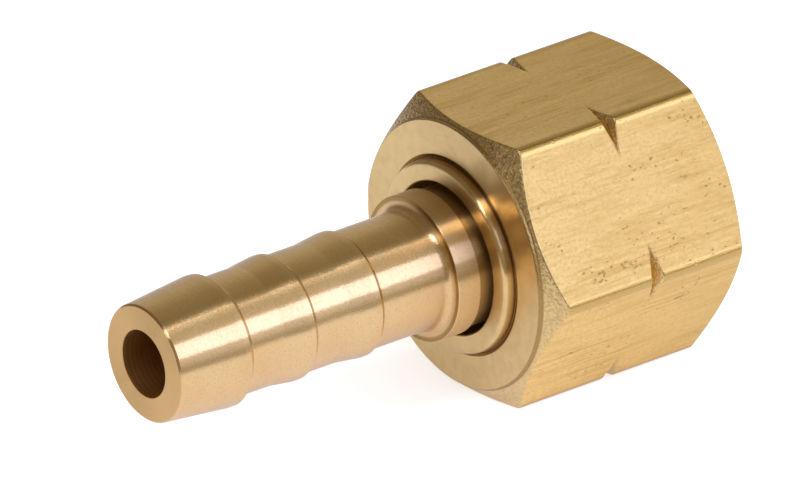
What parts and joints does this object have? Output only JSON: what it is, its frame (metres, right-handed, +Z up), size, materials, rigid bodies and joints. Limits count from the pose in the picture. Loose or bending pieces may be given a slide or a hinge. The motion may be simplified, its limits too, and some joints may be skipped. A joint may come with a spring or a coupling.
{
  "type": "hose barb tail with union nut",
  "caption": "Brass hose tail: barbed shank, collar and ball nose, with a hexagon union nut, notched at its corners, that swivels on it.",
  "frame": {"origin": "on the common axis, in the plane of the nut's rear face", "axes": "+X along the axis from the barbed end to the nut's threaded mouth, +Z up, with the nut lying on a flat of its hexagon"},
  "size_m": [0.0415, 0.0218, 0.019],
  "materials": {
    "turned_brass": "fine-turned, bright",
    "bar_brass": "drawn hexagon bar, satin, with turned ends"
  },
  "bodies": {
    "nut": {"union_nut": "bar_brass"},
    "tail": {"hose_tail": "turned_brass", "ball_head": "turned_brass"}
  },
  "joints": [
    {"name": "swivel", "type": "hinge", "parent": "nut", "child": "tail", "pos_m": [0, 0, 0], "axis": [1, 0, 0], "continuous": true}
  ]
}
